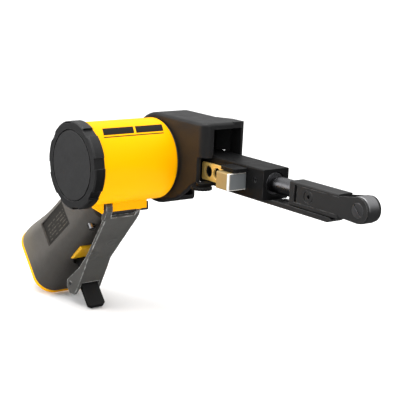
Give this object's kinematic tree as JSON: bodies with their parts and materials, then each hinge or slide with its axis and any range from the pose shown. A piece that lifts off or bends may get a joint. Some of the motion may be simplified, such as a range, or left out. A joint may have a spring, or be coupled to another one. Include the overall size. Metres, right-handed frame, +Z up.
{
  "type": "belt file sander",
  "caption": "Handheld air-driven belt file sander: round motor on a pistol grip with throttle lever, belt guard, arm and slim sprung nose with an end roller.",
  "frame": {"origin": "centre of the end cap's flat outer face, on the motor axis", "axes": "+X along the belt arm towards the nose, +Y along the motor axis from the end cap to the belt guard, +Z up, square to both; the grip runs down and back"},
  "size_m": [0.2993, 0.1028, 0.1446],
  "materials": {
    "cap_black": "satin moulded",
    "housing_yellow": "smooth, semi-gloss",
    "rim_yellow": "smooth",
    "guide_yellow": "smooth",
    "liner_iron": "ground",
    "bearing_steel": "ground",
    "screw_steel": "plated",
    "dark_steel": "blackened",
    "grip_grey": "fine moulded grain",
    "label_dark": "satin film",
    "end_plate_black": "satin moulded",
    "inlet_brass": "machined",
    "silencer_felt": "felt",
    "pad_rubber": "matte",
    "latch_black": "satin moulded",
    "lever_grey": "satin powder coat",
    "hub_aluminium": "turned",
    "tyre_rubber": "matte",
    "vane_composite": "laminate",
    "guard_black": "satin black coat",
    "arm_black": "black anodised",
    "nose_steel": "blackened and oiled",
    "rod_steel": "dark ground",
    "bracket_zinc": "yellow zinc",
    "button_steel": "polished",
    "wheel_steel": "burnished"
  },
  "bodies": {
    "motor": {"end_cap": "cap_black", "motor_housing": "housing_yellow", "cylinder_liner": "liner_iron", "rear_end_plate": "liner_iron", "front_end_plate": "liner_iron", "rear_bearing": "bearing_steel", "front_bearing": "bearing_steel", "swivel_retainer": "bearing_steel", "grip_body": "grip_grey", "label_plate": "label_dark", "grip_screw": "screw_steel", "grip_rim": "rim_yellow", "grip_end_plate": "end_plate_black", "air_inlet_bush": "inlet_brass", "exhaust_silencer": "silencer_felt", "valve_guide": "guide_yellow", "valve_seat": "inlet_brass", "valve_spring": "screw_steel", "lever_pin": "bearing_steel", "saddle_pad_centre": "pad_rubber", "saddle_pad_end": "pad_rubber"},
    "valve": {"valve_stem": "latch_black"},
    "lever": {"throttle_lever": "lever_grey", "latch_pin": "bearing_steel", "latch_spring": "screw_steel"},
    "latch": {"safety_latch": "latch_black"},
    "rotor": {"rotor_shaft": "bearing_steel", "rotor_core": "bearing_steel", "rotor_vane_1": "vane_composite", "rotor_vane_2": "vane_composite", "rotor_vane_3": "vane_composite", "rotor_vane_4": "vane_composite", "rotor_vane_5": "vane_composite", "drive_wheel_hub": "hub_aluminium", "drive_wheel_tyre": "tyre_rubber", "drive_wheel_nut": "screw_steel"},
    "head": {"guard_housing": "guard_black", "guard_cover": "guard_black", "guard_screw_1": "dark_steel", "guard_screw_2": "dark_steel", "guard_screw_3": "dark_steel", "swivel_washer": "pad_rubber", "arm_block": "arm_black", "arm_set_screw": "dark_steel", "rod_bush": "bearing_steel", "tension_spring": "screw_steel", "support_bar": "nose_steel", "bracket_plate": "bracket_zinc", "release_hood": "arm_black", "tracking_lug": "arm_black"},
    "release": {"release_button": "button_steel"},
    "tracking": {"tracking_wheel": "latch_black"},
    "nose": {"tension_rod": "rod_steel", "nose_channel": "nose_steel", "nose_plate_near": "nose_steel", "nose_plate_far": "nose_steel", "nose_pin": "nose_steel", "wheel_axle": "dark_steel"},
    "nose_roller": {"nose_wheel": "wheel_steel", "wheel_bearing": "bearing_steel"}
  },
  "joints": [
    {"name": "throttle", "type": "hinge", "parent": "motor", "child": "lever", "pos_m": [0.006, 0.038, -0.0305], "axis": [0, 1, 0], "range_deg": [0, 4], "stiffness_Nm_per_rad": 3, "springref_deg": -2.86},
    {"name": "valve_push", "type": "slide", "parent": "motor", "child": "valve", "axis": [-0.6561, 0, 0.7547], "range_m": [0, 0.00462]},
    {"name": "latch_flip", "type": "hinge", "parent": "lever", "child": "latch", "pos_m": [-0.04336, 0.038, -0.09798], "axis": [0, 1, 0], "range_deg": [0, 25], "stiffness_Nm_per_rad": 0.02, "springref_deg": -17.19},
    {"name": "rotor_spin", "type": "hinge", "parent": "motor", "child": "rotor", "pos_m": [0, 0.035, 0], "axis": [0, 1, 0], "continuous": true},
    {"name": "head_swivel", "type": "hinge", "parent": "motor", "child": "head", "pos_m": [0, 0.0702, 0], "axis": [0, 1, 0], "range_deg": [-120, 60]},
    {"name": "release_press", "type": "slide", "parent": "head", "child": "release", "axis": [0, 1, 0], "range_m": [0, 0.0025], "stiffness_N_per_m": 800, "springref_m": -0.002},
    {"name": "tracking_turn", "type": "hinge", "parent": "head", "child": "tracking", "pos_m": [0.0525, 0.07, -0.0115], "axis": [0, 0, 1], "range_deg": [-180, 180]},
    {"name": "tension_slide", "type": "slide", "parent": "head", "child": "nose", "axis": [-1, 0, 0], "range_m": [0, 0.008], "stiffness_N_per_m": 1500, "springref_m": -0.006, "deforming": ["tension_spring"]},
    {"name": "nose_wheel_spin", "type": "hinge", "parent": "nose", "child": "nose_roller", "pos_m": [0.1854, 0.0886, 0], "axis": [0, 1, 0], "continuous": true}
  ],
  "couplings": [
    {"joint": "valve_push", "follows": "throttle", "m_per_rad": 0.066}
  ]
}
